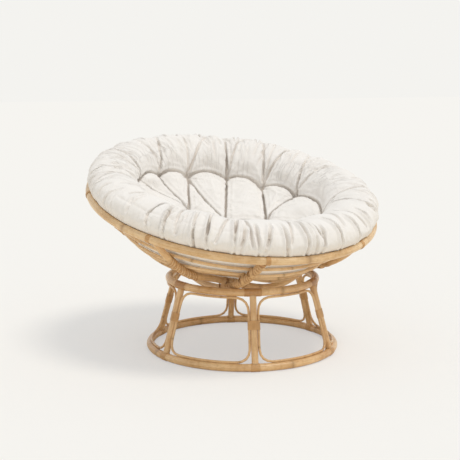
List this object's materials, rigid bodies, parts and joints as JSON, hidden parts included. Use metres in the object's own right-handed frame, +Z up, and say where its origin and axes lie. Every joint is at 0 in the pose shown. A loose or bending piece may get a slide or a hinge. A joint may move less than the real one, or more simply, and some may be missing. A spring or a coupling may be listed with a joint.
{
  "type": "papasan chair",
  "caption": "Round bowl chair: a tilted bowl of bent rattan poles and hoops rests on a ring stand and holds a thick round tufted cushion",
  "frame": {"origin": "on the floor, at the middle of the bottom of the whole chair's bounding box", "axes": "+Z is up; the low front edge of the tilted bowl faces -Y; +X is to the right of someone who looks along +Y"},
  "size_m": [1.114, 1.0834, 0.7797],
  "materials": {
    "rattan": "satin",
    "peel": "satin",
    "cotton": "matte"
  },
  "bodies": {
    "stand": {"bottom_ring": "rattan", "top_ring": "rattan", "post_1": "rattan", "post_2": "rattan", "post_3": "rattan", "post_4": "rattan", "post_5": "rattan", "post_6": "rattan", "bay_loop_1": "rattan", "bay_loop_2": "rattan", "bay_loop_3": "rattan", "bay_loop_4": "rattan", "bay_loop_5": "rattan", "bay_loop_6": "rattan", "post_binding_1": "peel", "post_binding_2": "peel", "post_binding_3": "peel", "post_binding_4": "peel", "post_binding_5": "peel", "post_binding_6": "peel", "top_binding_1": "peel", "bottom_binding_1": "peel", "top_binding_2": "peel", "bottom_binding_2": "peel", "top_binding_3": "peel", "bottom_binding_3": "peel", "top_binding_4": "peel", "bottom_binding_4": "peel", "top_binding_5": "peel", "bottom_binding_5": "peel", "top_binding_6": "peel", "bottom_binding_6": "peel"},
    "bowl": {"rim_hoop": "rattan", "rim_binding_1": "peel", "rim_binding_2": "peel", "rim_binding_3": "peel", "rim_binding_4": "peel", "rim_binding_5": "peel", "rim_binding_6": "peel", "rim_binding_7": "peel", "rim_binding_8": "peel", "outer_pole_1": "rattan", "outer_pole_2": "rattan", "inner_pole_1": "rattan", "inner_pole_2": "rattan", "hoop_1": "rattan", "hoop_binding_1": "peel", "hoop_2": "rattan", "hoop_binding_2": "peel", "hoop_3": "rattan", "hoop_binding_3": "peel", "hoop_4": "rattan", "hoop_binding_4": "peel", "crossing_binding_1": "peel", "crossing_binding_2": "peel", "crossing_binding_3": "peel", "crossing_binding_4": "peel"},
    "cushion": {"cushion": "cotton"}
  },
  "joints": [
    {"name": "bowl_tilt", "type": "hinge", "parent": "stand", "child": "bowl", "pos_m": [0, -0.07612, 0.84474], "axis": [1, 0, 0], "range_deg": [-14.9, 15]},
    {"name": "cushion_lift", "type": "slide", "parent": "bowl", "child": "cushion", "axis": [0, -0.2571, 0.9664], "range_m": [0, 0.35]}
  ]
}
